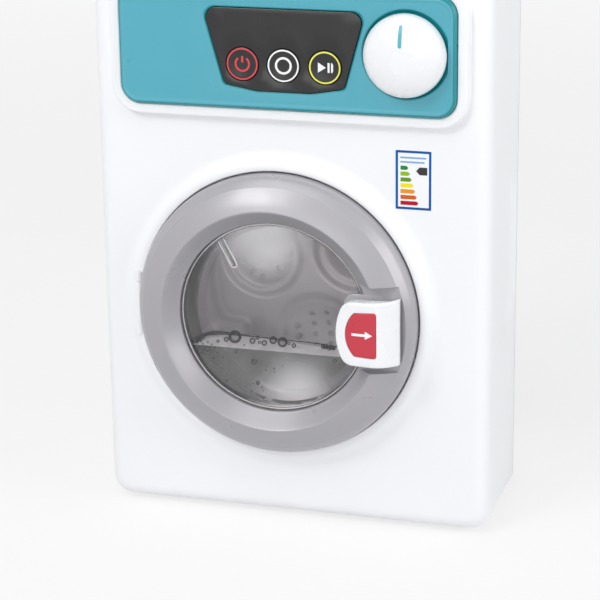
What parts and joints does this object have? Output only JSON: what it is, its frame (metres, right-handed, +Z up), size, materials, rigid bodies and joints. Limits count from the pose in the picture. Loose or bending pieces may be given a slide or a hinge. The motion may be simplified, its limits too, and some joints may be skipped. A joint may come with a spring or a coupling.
{
  "type": "toy washing machine",
  "caption": "Toy front-loading washing machine: white two-shell body, teal control panel, round grey door with a water-filled window, turning handle and motor-driven drum.",
  "frame": {"origin": "bottom centre of the whole object's box, on the floor between the four foot pads", "axes": "+Z up, the front with the door faces -Y, +X to the right as seen from the front"},
  "size_m": [0.186, 0.1748, 0.262],
  "materials": {
    "body_white": "moulded satin white",
    "handle_white": "moulded gloss white",
    "rubber_grey": "soft pad",
    "steel": "zinc plated",
    "dark_steel": "blackened",
    "teal": "moulded gloss teal",
    "display_black": "gloss black",
    "board_green": "solder mask",
    "switch_black": "matt",
    "switch_grey": "matt",
    "label_paper": "printed sticker",
    "ring_grey": "satin metallic grey",
    "frame_grey": "moulded grey",
    "tub_grey": "moulded pale grey",
    "bronze": "sintered bronze",
    "box_dark": "moulded dark",
    "cell_wrap": "plain wrapped cell",
    "speaker_dark": "matt",
    "clear_plastic": "clear polished plastic",
    "water": "clear liquid",
    "seal_black": "soft seal",
    "patch_red": "gloss red",
    "drum_silver": "silver pigmented plastic",
    "gear_ivory": "natural acetal"
  },
  "bodies": {
    "root": {"front_shell": "body_white", "rear_shell": "body_white", "foot_pads": "rubber_grey", "case_screws": "steel", "control_panel": "teal", "display_window": "display_black", "circuit_board": "board_green", "tact_switches": "switch_black", "dial_switch": "switch_grey", "board_screws": "steel", "info_label": "label_paper", "hinge_bracket": "ring_grey", "hinge_pin": "steel", "catch_spring": "steel", "tub": "tub_grey", "tub_screws": "steel", "bearing_bush": "bronze", "motor_bracket": "steel", "bracket_screws": "steel", "motor": "steel", "motor_screws": "dark_steel", "battery_box": "box_dark", "battery_cells": "cell_wrap", "contact_springs": "steel", "speaker": "speaker_dark"},
    "door": {"door_ring": "ring_grey", "door_frame": "frame_grey", "window_lens": "clear_plastic", "window_seal": "seal_black", "window_bowl": "clear_plastic", "water_fill": "water", "door_screws": "steel"},
    "handle": {"handle": "handle_white", "handle_patch": "patch_red", "latch_spindle": "frame_grey", "latch_cam": "frame_grey", "spindle_screw": "steel"},
    "drum": {"drum_barrel": "drum_silver", "drum_back_plate": "drum_silver", "drum_paddles": "drum_silver", "drum_shaft": "steel", "shaft_clip": "dark_steel", "drum_gear": "gear_ivory"},
    "motor_rotor": {"motor_shaft": "steel", "motor_pinion": "gear_ivory"},
    "knob": {"program_knob": "body_white", "knob_clip": "steel"},
    "button_left_body": {"button_left": "display_black"},
    "button_middle_body": {"button_middle": "display_black"},
    "button_right_body": {"button_right": "display_black"},
    "battery_cover_body": {"battery_cover": "body_white", "cover_screw": "steel"}
  },
  "joints": [
    {"name": "door_swing", "type": "hinge", "parent": "root", "child": "door", "pos_m": [-0.0737, -0.064, 0.10205], "axis": [0, 0, -1], "range_deg": [0, 100]},
    {"name": "handle_turn", "type": "hinge", "parent": "door", "child": "handle", "pos_m": [0.045, -0.0626, 0.10205], "axis": [0, -1, 0], "range_deg": [0, 90]},
    {"name": "drum_spin", "type": "hinge", "parent": "root", "child": "drum", "pos_m": [-0.0055, 0.0144, 0.10205], "axis": [0, 1, 0], "continuous": true},
    {"name": "pinion_spin", "type": "hinge", "parent": "root", "child": "motor_rotor", "pos_m": [0.008, 0.0274, 0.12543], "axis": [0, 1, 0], "continuous": true},
    {"name": "knob_turn", "type": "hinge", "parent": "root", "child": "knob", "pos_m": [0.0557, -0.0626, 0.2256], "axis": [0, 1, 0], "continuous": true},
    {"name": "button_left_press", "type": "slide", "parent": "root", "child": "button_left_body", "axis": [0, 1, 0], "range_m": [0, 0.0015], "stiffness_N_per_m": 300, "springref_m": -0.001},
    {"name": "button_middle_press", "type": "slide", "parent": "root", "child": "button_middle_body", "axis": [0, 1, 0], "range_m": [0, 0.0015], "stiffness_N_per_m": 300, "springref_m": -0.001},
    {"name": "button_right_press", "type": "slide", "parent": "root", "child": "button_right_body", "axis": [0, 1, 0], "range_m": [0, 0.0015], "stiffness_N_per_m": 300, "springref_m": -0.001},
    {"name": "battery_cover_off", "type": "slide", "parent": "root", "child": "battery_cover_body", "axis": [0, 1, 0], "range_m": [0, 0.03]}
  ],
  "couplings": [
    {"joint": "pinion_spin", "follows": "drum_spin", "ratio": -4}
  ]
}
